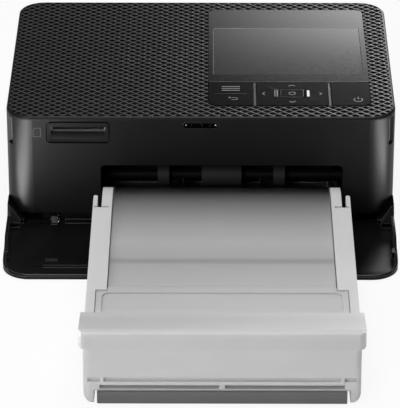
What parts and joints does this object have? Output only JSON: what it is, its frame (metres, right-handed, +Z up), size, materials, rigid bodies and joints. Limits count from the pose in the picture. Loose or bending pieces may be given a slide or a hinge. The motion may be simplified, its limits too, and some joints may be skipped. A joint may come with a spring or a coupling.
{
  "type": "compact photo printer",
  "caption": "Low box-shaped photo printer with a textured top, a flush display and keys, an open front cover and a frosted paper cassette in its mouth.",
  "frame": {"origin": "on the table, in the middle of the footprint of the body with its cassette", "axes": "+X to the printer's right as seen from the front, +Y from the front to the back, +Z up"},
  "size_m": [0.1822, 0.2944, 0.058],
  "materials": {
    "case_black": "fine matt moulded plastic",
    "top_knurl": "moulded diamond texture",
    "panel_gloss": "gloss",
    "display": "dark glass over the display",
    "key_black": "satin",
    "bright_trim": "satin metallic paint",
    "steel": "plain steel",
    "rubber": "matt",
    "inner_black": "plain moulded plastic",
    "frosted": "frosted translucent",
    "foot_grey": "matt dark grey",
    "ink_white": "pale moulded plastic",
    "film": "thin coloured film",
    "gear_white": "acetal",
    "board": "solder mask",
    "membrane": "silicone sheet",
    "brass": "plain"
  },
  "bodies": {
    "housing": {"base_pan": "case_black", "case_shell": "case_black", "top_cover": "top_knurl", "panel_bezel": "panel_gloss", "display_lens": "display", "lcd_module": "steel", "key_frame": "inner_black", "key_dividers": "bright_trim", "menu_pin": "steel", "key_membrane": "membrane", "card_slot_bezel": "case_black", "card_reader": "steel", "catch_pocket": "case_black", "cover_hinge_pins": "steel", "rubber_feet": "rubber", "case_screws": "steel", "ink_door_pin": "steel", "ink_shell": "ink_white", "ribbon_film": "film", "left_chassis": "steel", "right_chassis": "steel", "chassis_ties": "steel", "shaft_bushes": "brass", "mouth_duct": "inner_black", "paper_guide": "inner_black", "head_rod": "steel", "feed_motor": "steel", "motor_bracket": "steel", "gear_posts": "steel", "main_board": "board", "dc_jack": "inner_black", "usb_port": "steel"},
    "front_cover": {"front_cover": "case_black"},
    "menu_key": {"menu_key": "key_black"},
    "nav_pivot": {"nav_pivot": "inner_black"},
    "nav_key": {"nav_key": "key_black"},
    "ok_key": {"ok_key": "key_black"},
    "power_key": {"power_key": "key_black"},
    "ink_door": {"ink_door": "case_black"},
    "eject_lever": {"eject_lever": "ink_white"},
    "supply_spool": {"supply_spool": "film"},
    "takeup_spool": {"takeup_spool": "film"},
    "pickup": {"pickup_shaft": "steel", "pickup_rollers": "rubber"},
    "capstan": {"capstan": "steel"},
    "pinch_roller": {"pinch_roller": "rubber"},
    "platen_roller": {"platen_roller": "rubber"},
    "head": {"print_head": "steel", "head_arm": "steel"},
    "motor_pinion": {"motor_pinion": "brass"},
    "pickup_idler": {"pickup_idler": "gear_white"},
    "platen_idler": {"platen_idler": "gear_white"},
    "ribbon_idler": {"ribbon_idler": "gear_white"},
    "cassette": {"cassette_tray": "frosted", "inner_lid": "frosted", "foot_bar": "foot_grey"},
    "outer_lid": {"outer_lid": "frosted"},
    "lift_plate": {"lift_plate": "steel"}
  },
  "joints": [
    {"name": "cover_hinge", "type": "hinge", "parent": "housing", "child": "front_cover", "pos_m": [0, 0.0202, 0.0056], "axis": [-1, 0, 0], "range_deg": [0, 2.5]},
    {"name": "menu_rock", "type": "hinge", "parent": "housing", "child": "menu_key", "pos_m": [0.0141, 0.03955, 0.0546], "axis": [1, 0, 0], "range_deg": [-2, 2], "stiffness_Nm_per_rad": 0.02},
    {"name": "nav_tilt_front", "type": "hinge", "parent": "housing", "child": "nav_pivot", "pos_m": [0.04305, 0.03955, 0.0546], "axis": [1, 0, 0], "range_deg": [-1.5, 1.5], "stiffness_Nm_per_rad": 0.02},
    {"name": "nav_tilt_side", "type": "hinge", "parent": "nav_pivot", "child": "nav_key", "pos_m": [0.04305, 0.03955, 0.0546], "axis": [0, 1, 0], "range_deg": [-1.5, 1.5], "stiffness_Nm_per_rad": 0.02},
    {"name": "ok_press", "type": "slide", "parent": "housing", "child": "ok_key", "axis": [0, 0, -1], "range_m": [0, 0.0005], "stiffness_N_per_m": 300},
    {"name": "power_press", "type": "slide", "parent": "housing", "child": "power_key", "axis": [0, 0, -1], "range_m": [0, 0.0005], "stiffness_N_per_m": 300},
    {"name": "ink_door_hinge", "type": "hinge", "parent": "housing", "child": "ink_door", "pos_m": [0.0896, 0.1244, 0.031], "axis": [0, 0, 1], "range_deg": [0, 90]},
    {"name": "eject_slide", "type": "slide", "parent": "housing", "child": "eject_lever", "axis": [0, -1, 0], "range_m": [0, 0.0025], "stiffness_N_per_m": 200},
    {"name": "supply_spin", "type": "hinge", "parent": "housing", "child": "supply_spool", "pos_m": [0, 0.0722, 0.035], "axis": [1, 0, 0], "continuous": true},
    {"name": "takeup_spin", "type": "hinge", "parent": "housing", "child": "takeup_spool", "pos_m": [0, 0.1092, 0.035], "axis": [1, 0, 0], "continuous": true},
    {"name": "pickup_spin", "type": "hinge", "parent": "housing", "child": "pickup", "pos_m": [0, 0.0282, 0.021], "axis": [1, 0, 0], "continuous": true},
    {"name": "capstan_spin", "type": "hinge", "parent": "housing", "child": "capstan", "pos_m": [0, 0.0542, 0.017], "axis": [1, 0, 0], "continuous": true},
    {"name": "pinch_spin", "type": "hinge", "parent": "housing", "child": "pinch_roller", "pos_m": [0, 0.0542, 0.0263], "axis": [1, 0, 0], "continuous": true},
    {"name": "platen_spin", "type": "hinge", "parent": "housing", "child": "platen_roller", "pos_m": [0, 0.0902, 0.017], "axis": [1, 0, 0], "continuous": true},
    {"name": "pinion_spin", "type": "hinge", "parent": "housing", "child": "motor_pinion", "pos_m": [0, 0.05179, 0.03065], "axis": [1, 0, 0], "continuous": true},
    {"name": "pickup_idler_spin", "type": "hinge", "parent": "housing", "child": "pickup_idler", "pos_m": [0, 0.03945, 0.01398], "axis": [1, 0, 0], "continuous": true},
    {"name": "platen_idler_spin", "type": "hinge", "parent": "housing", "child": "platen_idler", "pos_m": [0, 0.0722, 0.02385], "axis": [1, 0, 0], "continuous": true},
    {"name": "ribbon_idler_spin", "type": "hinge", "parent": "housing", "child": "ribbon_idler", "pos_m": [0, 0.09794, 0.02922], "axis": [1, 0, 0], "continuous": true},
    {"name": "head_lift", "type": "hinge", "parent": "housing", "child": "head", "pos_m": [0, 0.1262, 0.0475], "axis": [-1, 0, 0], "range_deg": [0, 4]},
    {"name": "cassette_slide", "type": "slide", "parent": "housing", "child": "cassette", "axis": [0, -1, 0], "range_m": [0, 0.06]},
    {"name": "outer_lid_hinge", "type": "hinge", "parent": "cassette", "child": "outer_lid", "pos_m": [0.0098, -0.0948, 0.026], "axis": [-1, 0, 0], "range_deg": [0, 100]},
    {"name": "lift_plate_hinge", "type": "hinge", "parent": "cassette", "child": "lift_plate", "pos_m": [0.0098, -0.0138, 0.0113], "axis": [1, 0, 0], "range_deg": [0, 2.5]}
  ],
  "couplings": [
    {"joint": "platen_idler_spin", "follows": "platen_spin", "ratio": -0.88235},
    {"joint": "capstan_spin", "follows": "platen_spin", "ratio": 1},
    {"joint": "pickup_idler_spin", "follows": "platen_spin", "ratio": -1.5},
    {"joint": "pickup_spin", "follows": "platen_spin", "ratio": 1.25},
    {"joint": "pinion_spin", "follows": "platen_spin", "ratio": -1.875},
    {"joint": "ribbon_idler_spin", "follows": "platen_spin", "ratio": -1.6667},
    {"joint": "takeup_spin", "follows": "platen_spin", "ratio": 1.25},
    {"joint": "pinch_spin", "follows": "platen_spin", "ratio": -1.25}
  ]
}
